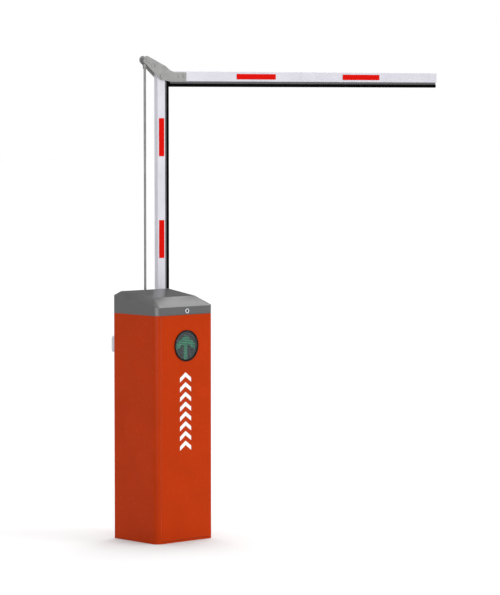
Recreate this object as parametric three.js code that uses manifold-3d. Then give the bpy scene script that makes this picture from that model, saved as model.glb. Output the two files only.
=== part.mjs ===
// Parking barrier gate with a folding boom: a rounded sheet-metal cabinet with a
// faceted lift-off lid and a hinged front door, a crank-driven main shaft, a
// vertical boom section and a second section that stays level because a link rod
// beside the boom forms a parallelogram with the elbow lever.
// Units: millimetres. +Z up, +X to the right seen from the front (the way the boom
// falls), +Y to the back. Origin: centre of the underside of the base plate.
import * as THREE from "three";
import { ConvexGeometry } from "three/addons/geometries/ConvexGeometry.js";
import { mergeVertices } from "three/addons/utils/BufferGeometryUtils.js";
import Module from "manifold-3d";

const wasm = await Module();
wasm.setup();

// ---------------------------------------------------------------- dimensions
const W = 305; // cabinet width, X
const D = 271; // cabinet depth, Y
const R = 22; // front vertical corner radius
const RB = 8; // back vertical corner radius
const WALL = 3;
const BODY_TOP = 924.7;
const LID_BOTTOM = 925;
const SHAFT_X = 120;
const SHAFT_Z = 820;
const GAP = 0.3;

const BOOM_Y = D / 2 + 25.5; // middle plane of the boom
const BOOM_B = 42; // boom tube, across, in the swing plane
const BOOM_T = 22; // boom tube, along Y
const TUBE_WALL = 2;
const BOOM_LEN = 1070; // main shaft to elbow pin
const ARM_LEN = 1617; // elbow pin to the tip
const LEVER = [-80, 66]; // elbow pin to link-rod pin (x, z); the same at the cabinet
const ROD_R = 5; // link rod radius
const PLATE_Q = 11.6; // half distance between the elbow plates' inner faces
const PLATE_T = 4;

const GEAR_X = 92; // gearbox output shaft
const GEAR_Z = 540;
const CRANK_R = 70; // crank and main-lever radius

// ---------------------------------------------------------------- colours
const mat = (name, color, roughness, metalness, extra = {}) => {
  const m = new THREE.MeshStandardMaterial({ color, roughness, metalness, ...extra });
  m.name = name;
  return m;
};
const M = {
  orange: mat("orange_paint", 0xc8400f, 0.42, 0.1),
  grey: mat("grey_paint", 0x75767a, 0.5, 0.1),
  cast: mat("cast_grey", 0xa3a49f, 0.48, 0.4),
  boom: mat("boom_white", 0xe2e1e8, 0.4, 0.1),
  rail: mat("rail_grey", 0x9c9ca2, 0.5, 0.4),
  rubber: mat("black_rubber", 0x0b0b0b, 0.85, 0),
  red: mat("red_reflective", 0xe3180f, 0.35, 0),
  steel: mat("zinc_steel", 0xa8abb0, 0.35, 0.9),
  dark: mat("dark_steel", 0x3a3c40, 0.45, 0.8),
  chrome: mat("chrome", 0xe8e8ea, 0.12, 1),
  black: mat("black_plastic", 0x17181a, 0.5, 0),
  plastic: mat("light_plastic", 0xd5d8dd, 0.5, 0),
  pcb: mat("led_board", 0x12351f, 0.6, 0),
  lens: mat("smoked_lens", 0x2a3a38, 0.1, 0, { transparent: true, opacity: 0.45 }),
  motor: mat("motor_blue_grey", 0x4a5560, 0.5, 0.5),
};

// ---------------------------------------------------------------- helpers
const solid = (geometry) => {
  const g = geometry.clone();
  for (const k of Object.keys(g.attributes)) if (k !== "position") g.deleteAttribute(k);
  const m = mergeVertices(g, 1e-4);
  return new wasm.Manifold(
    new wasm.Mesh({
      numProp: 3,
      vertProperties: new Float32Array(m.attributes.position.array),
      triVerts: new Uint32Array(m.index.array),
    }),
  );
};
const geo = (s) => {
  const m = s.getMesh();
  const g = new THREE.BufferGeometry();
  const v = new Float32Array(m.numVert * 3);
  for (let i = 0; i < m.numVert; i++)
    for (let k = 0; k < 3; k++) v[3 * i + k] = m.vertProperties[i * m.numProp + k];
  g.setAttribute("position", new THREE.BufferAttribute(v, 3));
  g.setIndex(new THREE.BufferAttribute(new Uint32Array(m.triVerts), 1));
  const flat = g.toNonIndexed();
  flat.computeVertexNormals();
  return flat;
};
const cut = (a, ...bs) => geo(bs.reduce((s, b) => s.subtract(solid(b)), solid(a)));
const join = (a, ...bs) => geo(bs.reduce((s, b) => s.add(solid(b)), solid(a)));
// box from corner to corner
const box = (x0, x1, y0, y1, z0, z1) => {
  const g = new THREE.BoxGeometry(x1 - x0, y1 - y0, z1 - z0);
  g.translate((x0 + x1) / 2, (y0 + y1) / 2, (z0 + z1) / 2);
  return g;
};
// cylinder along Y at (x, z) from y0 to y1
const cylY = (x, z, r, y0, y1, n = 20) => {
  const g = new THREE.CylinderGeometry(r, r, y1 - y0, n);
  g.translate(x, (y0 + y1) / 2, z);
  return g;
};
const cylZ = (x, y, r, z0, z1, n = 20) => {
  const g = new THREE.CylinderGeometry(r, r, z1 - z0, n);
  g.rotateX(Math.PI / 2);
  g.translate(x, y, (z0 + z1) / 2);
  return g;
};
const cylX = (y, z, r, x0, x1, n = 20) => {
  const g = new THREE.CylinderGeometry(r, r, x1 - x0, n);
  g.rotateZ(Math.PI / 2);
  g.translate((x0 + x1) / 2, y, z);
  return g;
};
// hexagon bar along Y
const hexY = (x, z, af, y0, y1) => cylY(x, z, af / Math.sqrt(3), y0, y1, 6);
// outline [[x, y], ...] extruded in Z from z0 to z1
const prism = (points, z0, z1, holes = []) => {
  const s = new THREE.Shape(points.map((p) => new THREE.Vector2(p[0], p[1])));
  for (const h of holes) s.holes.push(new THREE.Path(h.map((p) => new THREE.Vector2(p[0], p[1]))));
  const g = new THREE.ExtrudeGeometry(s, { depth: z1 - z0, bevelEnabled: false, curveSegments: 6 });
  g.translate(0, 0, z0);
  return g;
};
// outline [[x, z], ...] extruded along Y from y0 to y1
const slab = (points, y0, y1) => {
  const s = new THREE.Shape(points.map((p) => new THREE.Vector2(p[0], p[1])));
  const g = new THREE.ExtrudeGeometry(s, { depth: y1 - y0, bevelEnabled: false });
  g.rotateX(Math.PI / 2); // (x, y, z) -> (x, -z, y)
  g.translate(0, y1, 0);
  return g;
};
const arc = (cx, cy, r, a0, a1, n) => {
  const out = [];
  for (let i = 0; i <= n; i++) {
    const a = ((a0 + ((a1 - a0) * i) / n) * Math.PI) / 180;
    out.push([cx + r * Math.cos(a), cy + r * Math.sin(a)]);
  }
  return out;
};
// rounded rectangle, centred, counter-clockwise
const rrect = (w, d, r, n = 4) => [
  ...arc(w / 2 - r, d / 2 - r, r, 0, 90, n),
  ...arc(-w / 2 + r, d / 2 - r, r, 90, 180, n),
  ...arc(-w / 2 + r, -d / 2 + r, r, 180, 270, n),
  ...arc(w / 2 - r, -d / 2 + r, r, 270, 360, n),
];
// cabinet outline, set in by a distance
const plan = (inset, n = 5) => {
  const f = R - inset,
    b = Math.max(RB - inset, 1.5),
    w = W / 2 - inset,
    d = D / 2 - inset;
  return [
    ...arc(w - b, d - b, b, 0, 90, n),
    ...arc(-w + b, d - b, b, 90, 180, n),
    ...arc(-w + f, -d + f, f, 180, 270, n),
    ...arc(w - f, -d + f, f, 270, 360, n),
  ];
};
// stadium-shaped link in XZ from a to b with end radius r, as a slab
const link = (ax, az, bx, bz, r, y0, y1, n = 8) => {
  const t = (Math.atan2(bz - az, bx - ax) * 180) / Math.PI;
  return slab([...arc(bx, bz, r, t - 90, t + 90, n), ...arc(ax, az, r, t + 90, t + 270, n)], y0, y1);
};
const root = new THREE.Group();
const cabinet = new THREE.Group();
const lid = new THREE.Group();
const door = new THREE.Group();
const boom = new THREE.Group(); // origin on the main shaft axis, in the boom's middle plane
boom.position.set(SHAFT_X, BOOM_Y, SHAFT_Z);
const arm = new THREE.Group(); // origin on the elbow pin
arm.position.set(0, 0, BOOM_LEN);
boom.add(arm);
const drive = new THREE.Group();
root.add(cabinet, lid, door, boom, drive);
const add = (group, name, geometry, material, pos, rot) => {
  const m = new THREE.Mesh(geometry, material);
  m.name = name;
  if (pos) m.position.set(...pos);
  if (rot) m.rotation.set(...rot);
  group.add(m);
  return m;
};

// ---------------------------------------------------------------- cabinet
const X = W / 2,
  Y = D / 2;
const N_CORNER = 5;
const SEAM_X = -X + R + 1; // left edge of the door opening
const RETURN_Y = -Y + R + 6; // where the right wall starts behind the door's return

// C-shaped shell, open at the front, with a closed ring at the foot
const shellOuter = [
  [SEAM_X, -Y],
  ...arc(-X + R, -Y + R, R, 270, 180, N_CORNER),
  ...arc(-X + RB, Y - RB, RB, 180, 90, N_CORNER),
  ...arc(X - RB, Y - RB, RB, 90, 0, N_CORNER),
  [X, RETURN_Y],
];
const Ri = R - WALL;
const shellInner = [
  [X - WALL, RETURN_Y],
  ...arc(X - RB, Y - RB, RB - WALL, 0, 90, N_CORNER),
  ...arc(-X + RB, Y - RB, RB - WALL, 90, 180, N_CORNER),
  ...arc(-X + R, -Y + R, Ri, 180, 270, N_CORNER),
  [SEAM_X, -Y + WALL],
];
const shellC = prism([...shellOuter, ...shellInner], 0, BODY_TOP);
const shellRing = prism(plan(0), 0, 9, [plan(WALL).reverse()]);
const shaftHole = cylY(SHAFT_X, SHAFT_Z, 18, Y - 10, Y + 10, 24);
add(cabinet, "housing_shell", cut(join(shellC, shellRing), shaftHole), M.orange);

// base plate inside the shell, with four slotted anchor holes and a cable opening
const slot = (x, y) =>
  prism([...arc(x, y + 6, 7, 0, 180, 6), ...arc(x, y - 6, 7, 180, 360, 6)], -5, 20);
const anchors = [
  [-105, -90],
  [105, -90],
  [-105, 90],
  [105, 90],
];
add(
  cabinet,
  "base_plate",
  cut(
    prism(plan(WALL + 0.4), 0, 8),
    ...anchors.map(([x, y]) => slot(x, y)),
    prism(rrect(70, 60, 10, 3).map(([x, y]) => [x - 55, y]), -5, 20),
  ),
  M.steel,
);

// two-plate drive frame standing on the base plate
const FR_Y0 = -32,
  FR_T = 6,
  RR_Y0 = 96;
const FX0 = -10,
  FX1 = 147.5;
add(
  cabinet,
  "frame_plate_rear",
  cut(
    join(box(FX0, FX1, RR_Y0, RR_Y0 + FR_T, 8.3, 888), box(FX0, FX1, 60, RR_Y0 + 0.1, 8.3, 14.3)),
    cylY(SHAFT_X, SHAFT_Z, 24.6, 80, 110, 20),
  ),
  M.dark,
);
add(
  cabinet,
  "frame_plate_front",
  cut(
    box(FX0, FX1, FR_Y0, FR_Y0 + FR_T, 400, 888),
    cylY(SHAFT_X, SHAFT_Z, 24.6, -50, 0, 20),
    cylY(GEAR_X, GEAR_Z, 18, -50, 0, 16),
  ),
  M.dark,
);
[
  [8, 415],
  [8, 872],
].forEach(([x, z], i) =>
  add(
    cabinet,
    `frame_spacer_${i + 1}`,
    cylY(x, z, 9, FR_Y0 + FR_T + GAP, RR_Y0 - GAP, 12),
    M.steel,
  ),
);

// flanged bearings of the main shaft
const bearing = (y0, y1, f0, f1) =>
  cut(
    join(cylY(SHAFT_X, SHAFT_Z, 24, y0, y1, 20), cylY(SHAFT_X, SHAFT_Z, 27.5, f0, f1, 20)),
    cylY(SHAFT_X, SHAFT_Z, 15.6, y0 - 5, y1 + 5, 24),
  );
add(cabinet, "bearing_rear", bearing(86, 106, 86, 95.7), M.cast);
add(cabinet, "bearing_front", bearing(-36, -15, -25.7, -15), M.cast);
add(
  cabinet,
  "shaft_seal_ring",
  cut(cylY(SHAFT_X, SHAFT_Z, 24, Y + GAP, Y + 4, 28), cylY(SHAFT_X, SHAFT_Z, 15.8, Y - 5, Y + 9, 24)),
  M.black,
);

// gearmotor: gearbox between the plates, motor hanging below it
add(
  cabinet,
  "gearbox_housing",
  cut(
    join(
      box(GEAR_X - 52, GEAR_X + 46, FR_Y0 + FR_T + GAP, 70, GEAR_Z - 58, GEAR_Z + 62),
      box(GEAR_X - 44, GEAR_X + 38, 69.9, 78, GEAR_Z - 50, GEAR_Z + 54),
      cylZ(GEAR_X, 26, 38, GEAR_Z - 66, GEAR_Z - 57.9, 20),
    ),
    cylY(GEAR_X, GEAR_Z, 12.6, -40, 30, 16),
  ),
  M.cast,
);
add(
  cabinet,
  "drive_motor",
  join(
    cylZ(GEAR_X, 26, 41, 320, GEAR_Z - 66.4, 24),
    cylZ(GEAR_X, 26, 36, 300, 320.1, 24),
    box(GEAR_X - 62, GEAR_X - 36, 8, 44, 390, 450),
  ),
  M.motor,
);
// torsion balance spring round the main shaft: fixed leg on a frame stud
class Helix extends THREE.Curve {
  constructor(r, y0, y1, turns, x, z) {
    super();
    Object.assign(this, { r, y0, y1, turns, x, z });
  }
  getPoint(t, target = new THREE.Vector3()) {
    const a = t * this.turns * 2 * Math.PI;
    return target.set(
      this.x + this.r * Math.cos(a),
      this.y0 + (this.y1 - this.y0) * t,
      this.z + this.r * Math.sin(a),
    );
  }
}
const ring = (r, n) => new THREE.Shape(arc(0, 0, r, 0, 360 - 360 / n, n - 1).map((p) => new THREE.Vector2(...p)));
add(
  cabinet,
  "balance_spring",
  new THREE.ExtrudeGeometry(ring(3, 6), {
    steps: 84,
    bevelEnabled: false,
    extrudePath: new Helix(24.5, -8, 58, 6, SHAFT_X, SHAFT_Z),
  }),
  M.steel,
);
// rubber buffers that the main lever meets at both ends of its travel
const S = Math.SQRT1_2;
const buffer = (along, side, sx, sz) => [
  SHAFT_X - S * along + sx * side * S,
  SHAFT_Z + (sz > 0 ? S : -S) * along + sz * side * S,
];
const [bo_x, bo_z] = buffer(52, 24, 1, -1);
const [bc_x, bc_z] = buffer(52, 24, 1, 1);
add(cabinet, "buffer_open", cylY(bo_x, bo_z, 10, -56, FR_Y0 - GAP, 14), M.rubber);
add(cabinet, "buffer_closed", cylY(bc_x, bc_z, 10, -56, FR_Y0 - GAP, 14), M.rubber);

// controller enclosure on the rear wall, left of the drive frame
add(
  cabinet,
  "controller_unit",
  join(
    box(-130, -26, 66, Y - WALL - GAP, 470, 680),
    box(-126, -30, 61, 66.1, 474, 676),
    box(-112, -44, 78, 112, 460, 470.1),
  ),
  M.plastic,
);

// top rail behind the door, with the keeper lip for the lid lock
add(
  cabinet,
  "front_top_rail",
  join(
    box(-X + 7, X - 7, -122, -110, 894, 912),
    box(-X + 3.3, -X + 20, -111, -94, 894, 912),
    box(X - 20, X - 3.3, -111 + 4.5, -94, 894, 912),
    box(X - 20, X - 8, -111, -106.4, 894, 912),
    box(27, 40, -127.5, -115, 906, 916),
    box(18.5, 27.1, -127.5, -115, 913, 916),
  ),
  M.orange,
);

// light-grey receiver module on the rear wall by its left edge
add(
  cabinet,
  "receiver_module",
  slab(rrect(44, 67, 9, 4).map(([x, z]) => [x - 120, z + 796]), Y + GAP, Y + 24),
  M.plastic,
);
// cantilever anchor of the link rod, on the rear wall
const AX = SHAFT_X + LEVER[0],
  AZ = SHAFT_Z + LEVER[1];
add(
  cabinet,
  "rod_anchor_bracket",
  join(
    slab(rrect(50, 50, 8, 3).map(([x, z]) => [x + AX, z + AZ]), Y + GAP, Y + 5),
    cylY(AX, AZ, 13, Y + 4.9, BOOM_Y - 6.5, 18),
    cylY(AX, AZ, 4.9, BOOM_Y - 6.6, BOOM_Y + 9, 14),
  ),
  M.cast,
);
add(
  cabinet,
  "rod_anchor_nut",
  cut(hexY(AX, AZ, 16, BOOM_Y + 6.6, BOOM_Y + 13), cylY(AX, AZ, 5.2, BOOM_Y, BOOM_Y + 9.3, 14)),
  M.steel,
);

// ---------------------------------------------------------------- lid
const wallTop = (y) => 957 + (41 * (y + Y)) / D;
const lidHull = (inset, down) => {
  const pts = [];
  for (const [x, y] of plan(inset)) {
    pts.push(new THREE.Vector3(x, y, LID_BOTTOM - (inset ? 20 : 0)));
    pts.push(new THREE.Vector3(x, y, wallTop(y) - down));
  }
  const cf = 43 + inset * 0.4,
    cb = 26 + inset * 0.4;
  for (const s of [-1, 1]) {
    pts.push(new THREE.Vector3(s * (X - cf), -Y + 66 + inset * 0.5, 994.5 - down * 1.6));
    pts.push(new THREE.Vector3(s * (X - cb), Y - 20 - inset * 0.5, 1014 - down * 1.6));
  }
  return new ConvexGeometry(pts);
};
const ringSolid = (i0, i1, z0, z1) =>
  prism(plan(i0), z0, z1, [plan(i1).reverse()]);
const LOCK_X = 10,
  LOCK_Z = 940;
add(
  lid,
  "lid_shell",
  cut(
    join(cut(lidHull(0, 0), lidHull(3, 2.2)), ringSolid(0, 6.2, LID_BOTTOM, 929), ringSolid(4.2, 6.2, 914, 929)),
    cylY(LOCK_X, LOCK_Z, 8.4, -Y - 10, -Y + 12, 16),
  ),
  M.grey,
);
// lock barrel fixed in the lid: rim outside, body inside
add(
  lid,
  "lock_barrel",
  cut(
    join(cylY(LOCK_X, LOCK_Z, 10.5, -Y - 3, -Y - GAP, 20), cylY(LOCK_X, LOCK_Z, 8.1, -Y - 0.4, -Y + 9, 16)),
    cylY(LOCK_X, LOCK_Z, 5.6, -Y - 10, -Y + 20, 20),
  ),
  M.chrome,
);
// key plug and hooked cam turn together
add(
  lid,
  "lock_plug",
  cut(
    cylY(LOCK_X, LOCK_Z, 5.2, -Y - 2.6, -Y + 9, 16),
    box(LOCK_X - 0.9, LOCK_X + 0.9, -Y - 6, -Y + 2, LOCK_Z - 3.6, LOCK_Z + 3.6),
  ),
  M.chrome,
);
add(
  lid,
  "lock_cam",
  slab(
    [
      [LOCK_X + 7, LOCK_Z - 6],
      [LOCK_X + 7, LOCK_Z + 6],
      [LOCK_X - 36, LOCK_Z + 6],
      [LOCK_X - 36, LOCK_Z - 13],
      [LOCK_X - 28, LOCK_Z - 13],
      [LOCK_X - 28, LOCK_Z - 6],
    ],
    -Y + 9.3,
    -Y + 12.3,
  ),
  M.steel,
);

// ---------------------------------------------------------------- front door
const DOOR_Z0 = 10,
  DOOR_Z1 = 923.6;
const HINGE = [X + 5, RETURN_Y + 1]; // barrel axis beside the right wall
const LED_X = 6,
  LED_Z = 798,
  LED_R = 63.5;
add(
  door,
  "door_panel",
  cut(
    prism(
      [
        [SEAM_X + 1, -Y],
        ...arc(X - R, -Y + R, R, 270, 360, N_CORNER),
        [X, RETURN_Y - 1.2],
        [X - WALL, RETURN_Y - 1.2],
        ...arc(X - R, -Y + R, Ri, 360, 270, N_CORNER),
        [SEAM_X + 1, -Y + WALL],
      ],
      DOOR_Z0,
      DOOR_Z1,
    ),
    cylY(LED_X, LED_Z, LED_R - 2.5, -Y - 5, -Y + 8, 32),
  ),
  M.orange,
);
// hinge: door knuckles and cabinet knuckles on one axis, pins fixed to the cabinet side
for (const [name, z] of [
  ["lower", 120],
  ["upper", 780],
]) {
  const [hx, hy] = HINGE;
  add(
    cabinet,
    `hinge_leaf_${name}`,
    join(
      cylZ(hx, hy, 4.5, z, z + 29.7, 14),
      box(X + GAP, hx, hy - 1.0, hy + 2.4, z, z + 29.7),
      box(X + GAP, X + 2.6, hy, hy + 22, z, z + 29.7),
      cylZ(hx, hy, 2.4, z + 29.6, z + 56, 10),
    ),
    M.dark,
  );
  add(
    door,
    `hinge_knuckle_${name}`,
    cut(
      join(
        cylZ(hx, hy, 4.5, z + 30, z + 60, 14),
        box(X + GAP, hx, hy - 2.4, hy + 1.0, z + 30, z + 60),
        box(X + GAP, X + 2.6, hy - 12, hy - 1.0, z + 30, z + 60),
      ),
      cylZ(hx, hy, 2.8, z + 20, z + 57, 12),
    ),
    M.dark,
  );
}
// round lane signal: bezel with its can behind the skin, LED board and lens
add(
  door,
  "signal_housing",
  cut(
    join(cylY(LED_X, LED_Z, LED_R, -Y - 4, -Y - GAP, 40), cylY(LED_X, LED_Z, LED_R - 3, -Y - 0.4, -Y + 30, 32)),
    cylY(LED_X, LED_Z, LED_R - 4.6, -Y - 9, -Y + 28, 32),
  ),
  M.black,
);
add(door, "signal_board", cylY(LED_X, LED_Z, LED_R - 5.4, -Y + 4, -Y + 6, 32), M.pcb);
add(door, "signal_lens", cylY(LED_X, LED_Z, LED_R - 5.0, -Y - 2.6, -Y + 0.4, 36), M.lens);

// ---------------------------------------------------------------- main shaft and drive linkage
// these turn with the boom, on the main shaft axis
add(
  drive,
  "main_shaft",
  cylY(SHAFT_X, SHAFT_Z, 15, -68, BOOM_Y - BOOM_T / 2 - 1.2, 24),
  M.steel,
);
const leverX = SHAFT_X - CRANK_R * S,
  leverZ = SHAFT_Z - CRANK_R * S;
add(
  drive,
  "drive_lever",
  cut(
    join(
      link(SHAFT_X, SHAFT_Z, leverX, leverZ, 13, -56, -44),
      cylY(SHAFT_X, SHAFT_Z, 24, -60, -38, 24),
      cylY(leverX, leverZ, 6, -70, -55.9, 14),
    ),
    cylY(SHAFT_X, SHAFT_Z, 15.3, -70, -30, 24),
  ),
  M.cast,
);
add(
  drive,
  "spring_hub",
  cut(
    join(cylY(SHAFT_X, SHAFT_Z, 24, 66, 82, 20), cylY(SHAFT_X + 22, SHAFT_Z, 4, 62.5, 76, 10)),
    cylY(SHAFT_X, SHAFT_Z, 15.3, 50, 90, 24),
  ),
  M.cast,
);
const crankX = GEAR_X - CRANK_R * S,
  crankZ = GEAR_Z - CRANK_R * S;
add(
  drive,
  "crank_arm",
  join(
    link(GEAR_X, GEAR_Z, crankX, crankZ, 14, -56, -44),
    cylY(GEAR_X, GEAR_Z, 20, -58, -38, 20),
    cylY(GEAR_X, GEAR_Z, 12, -38.1, 20, 14),
    cylY(crankX, crankZ, 6, -70, -55.9, 14),
  ),
  M.dark,
);
add(
  drive,
  "connecting_rod",
  cut(
    join(
      link(leverX, leverZ, crankX, crankZ, 6, -69, -59, 4),
      cylY(leverX, leverZ, 13, -69, -59, 18),
      cylY(crankX, crankZ, 13, -69, -59, 18),
    ),
    cylY(leverX, leverZ, 6.3, -80, -50, 16),
    cylY(crankX, crankZ, 6.3, -80, -50, 16),
  ),
  M.steel,
);

// ---------------------------------------------------------------- boom section
// Section in (p, q): p across the boom on the rubber side, q along Y.
const B = BOOM_B / 2,
  T = BOOM_T / 2;
const NECK = 9;
const profile = [
  ...arc(B - 2.5, T - 2.5, 2.5, 0, 90, 2).map(([p, q]) => [p, q]),
  ...arc(-B + 2.5, T - 2.5, 2.5, 90, 180, 2),
  ...arc(-B + 2.5, -T + 2.5, 2.5, 180, 270, 2),
  ...arc(B - 2.5, -T + 2.5, 2.5, 270, 360, 2),
  [B, -8],
  [B + NECK, -8],
  [B + NECK, -3.4],
  [B + 3, -3.4],
  [B + 3, 3.4],
  [B + NECK, 3.4],
  [B + NECK, 8],
  [B, 8],
];
const bore = [
  [B - TUBE_WALL, T - TUBE_WALL],
  [B - TUBE_WALL, -T + TUBE_WALL],
  [-B + TUBE_WALL, -T + TUBE_WALL],
  [-B + TUBE_WALL, T - TUBE_WALL],
];
const tube = (z0, z1) => prism(profile, z0, z1, [bore]);
const r0 = B + NECK + GAP;
const rubberProfile = [
  [r0, -10.4],
  [r0 + 9.5, -10.4],
  [r0 + 12.6, -8.2],
  [r0 + 13.4, -5],
  [r0 + 13.4, 5],
  [r0 + 12.6, 8.2],
  [r0 + 9.5, 10.4],
  [r0, 10.4],
  [r0, 3],
  [r0 - 5, 3],
  [r0 - 5, -3],
  [r0, -3],
];
const rubberBore = [
  [r0 + 2.6, 7],
  [r0 + 10, 7],
  [r0 + 10, -7],
  [r0 + 2.6, -7],
];
const rubber = (z0, z1) => prism(rubberProfile, z0, z1, [rubberBore]);

const FOOT = 85; // tube below the shaft
const HEAD = 20; // tube above the elbow pin
const clampBolts = [-55, 55];
// boom clamp on the shaft end
add(
  boom,
  "boom_clamp",
  cut(
    join(
      slab(rrect(66, 150, 8, 3), -T - 8.6, -T - GAP),
      cylY(0, 0, 24, Y + 4.4 - BOOM_Y, -T - 8.5, 20),
    ),
    cylY(0, 0, 15.3, -60, 0, 24),
    ...clampBolts.map((z) => cylY(0, z, 5.4, -40, 0, 12)),
  ),
  M.cast,
);
add(
  boom,
  "clamp_cover_plate",
  cut(
    slab(rrect(40, 150, 6, 3), T + GAP, T + 5.3),
    ...clampBolts.map((z) => cylY(0, z, 5.4, 0, 40, 12)),
  ),
  M.cast,
);
clampBolts.forEach((z, i) =>
  add(
    boom,
    `clamp_bolt_${i + 1}`,
    join(cylY(0, z, 5, -T - 6, T + 5.7, 12), hexY(0, z, 17, T + 5.6, T + 12)),
    M.steel,
  ),
);
add(
  boom,
  "boom_tube",
  cut(
    tube(-FOOT, BOOM_LEN + HEAD),
    ...clampBolts.map((z) => cylY(0, z, 5.6, -40, 40, 12)),
    cylY(0, BOOM_LEN, 6.3, -40, 40, 16),
    // the neck is cut back at the elbow
    box(B - 0.01, B + NECK + 5, -15, 15, BOOM_LEN - 20, BOOM_LEN + HEAD + 5),
  ),
  M.boom,
);
add(boom, "boom_rubber", rubber(-FOOT, BOOM_LEN - 21), M.rubber);
add(
  boom,
  "boom_foot_cap",
  join(
    box(-B, B, -T, T, -FOOT - 4.3, -FOOT - GAP),
    box(-B + TUBE_WALL + 0.4, B - TUBE_WALL - 0.4, -T + TUBE_WALL + 0.4, T - TUBE_WALL - 0.4, -FOOT - 0.4, -FOOT + 16),
  ),
  M.black,
);
const tapeBoom = (zc) => box(-13.5, 14.5, -T - 0.9, -T - GAP, zc - 78.5, zc + 78.5);
add(boom, "boom_reflector_lower", tapeBoom(1217.5 - SHAFT_Z), M.red);
add(boom, "boom_reflector_upper", tapeBoom(1638.5 - SHAFT_Z), M.red);
// elbow pin, held in the tube's head, with a flat head at both ends
const PIN_Q = PLATE_Q + PLATE_T;
add(
  boom,
  "elbow_pin",
  join(
    cylY(0, BOOM_LEN, 6, -PIN_Q - 0.5, PIN_Q + 0.5, 16),
    cylY(0, BOOM_LEN, 9.5, -PIN_Q - 3.3, -PIN_Q - GAP, 18),
    cylY(0, BOOM_LEN, 9.5, PIN_Q + GAP, PIN_Q + 3.3, 18),
  ),
  M.steel,
);

// ---------------------------------------------------------------- second section (arm)
const ARM_START = 50;
const outline = [
  ...arc(LEVER[0], LEVER[1], 17, 55, 215, 9),
  [-11, -10],
  [-3, -15.7],
  [35, -19.4],
  [51.5, -22.7],
  [133, -22.7],
  [133, 16.5],
  [66, 16.5],
  [41, 27],
  [22, 41],
];
const armBolts = [94, 122];
const elbowPlate = (q0, q1) =>
  cut(
    slab(outline, q0, q1),
    cylY(0, 0, 6.3, -40, 40, 16),
    cylY(LEVER[0], LEVER[1], 5.3, -40, 40, 14),
    cylY(-38, 42, 4.3, -40, 40, 10),
    ...armBolts.map((x) => cylY(x, 0, 4.3, -40, 40, 10)),
  );
add(arm, "elbow_plate_front", elbowPlate(-PLATE_Q - PLATE_T, -PLATE_Q), M.cast);
add(arm, "elbow_plate_rear", elbowPlate(PLATE_Q, PLATE_Q + PLATE_T), M.cast);
add(
  arm,
  "elbow_spacer",
  join(
    cylY(-38, 42, 8, -PLATE_Q + GAP, PLATE_Q - GAP, 14),
    cylY(-38, 42, 4, -PLATE_Q - PLATE_T - 1, PLATE_Q + PLATE_T + 1, 10),
  ),
  M.steel,
);
add(
  arm,
  "lever_pin",
  join(
    cylY(LEVER[0], LEVER[1], 5, -PLATE_Q - PLATE_T - 0.5, PLATE_Q + PLATE_T + 3, 14),
    cylY(LEVER[0], LEVER[1], 8, -PLATE_Q - PLATE_T - 3, -PLATE_Q - PLATE_T - GAP, 14),
  ),
  M.steel,
);
armBolts.forEach((x, i) =>
  add(
    arm,
    `arm_bolt_${i + 1}`,
    join(
      cylY(x, 0, 4, -PLATE_Q - PLATE_T - 0.4, PLATE_Q + PLATE_T + 4, 10),
      cylY(x, 0, 7, -PLATE_Q - PLATE_T - 3, -PLATE_Q - PLATE_T - GAP, 14),
    ),
    M.steel,
  ),
);
const lay = [0, Math.PI / 2, 0]; // section laid along +X: p down, q along Y
add(
  arm,
  "arm_tube",
  cut(
    tube(ARM_START, ARM_LEN),
    ...armBolts.map((x) => cylY(0, x, 4.4, -40, 40, 10)),
  ),
  M.boom,
  [0, 0, 0],
  lay,
);
add(arm, "arm_rubber", rubber(46.5, ARM_LEN), M.rubber, [0, 0, 0], lay);
add(
  arm,
  "arm_end_cap",
  join(
    box(-B, B, -T, T, ARM_LEN + GAP, ARM_LEN + 3.5),
    box(-B + TUBE_WALL + 0.4, B - TUBE_WALL - 0.4, -T + TUBE_WALL + 0.4, T - TUBE_WALL - 0.4, ARM_LEN - 16, ARM_LEN + 0.4),
  ),
  M.plastic,
  [0, 0, 0],
  lay,
);
const tapeArm = (xc) => box(-11.5, 11.5, -T - 0.9, -T - GAP, xc - 112, xc + 112); // 224 long
add(arm, "arm_reflector_inner", tapeArm(529), M.red, [0, 0, 0], lay);
add(arm, "arm_reflector_outer", tapeArm(1149), M.red, [0, 0, 0], lay);

// ---------------------------------------------------------------- link rod
// joins the cabinet's anchor pin to the elbow lever's pin, parallel to the boom
const rod = new THREE.Group();
rod.position.set(AX, BOOM_Y, AZ);
root.add(rod);
const rodEnd = (z, dir, r) =>
  cut(
    join(
      cylY(0, z, 11, -5.8, 5.8, 18),
      dir > 0 ? box(-6, 6, -5, 5, z, z + 16) : box(-6, 6, -5, 5, z - 16, z),
      cylZ(0, 0, 8, dir > 0 ? z + 15 : z - 36, dir > 0 ? z + 36 : z - 15, 16),
    ),
    cylY(0, z, r, -20, 20, 16),
    cylZ(0, 0, ROD_R + 0.3, dir > 0 ? z + 17 : z - 40, dir > 0 ? z + 40 : z - 17, 12),
  );
add(rod, "rod_end_lower", rodEnd(0, 1, 5.3), M.dark);
add(rod, "rod_end_upper", rodEnd(BOOM_LEN, -1, 5.3), M.dark);
add(rod, "link_rod", cylZ(0, 0, ROD_R, 17.5, BOOM_LEN - 17.5, 16), M.rail);

export default root;
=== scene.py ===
import math
import random

import bmesh
import bpy
from mathutils import Matrix, Vector


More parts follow.
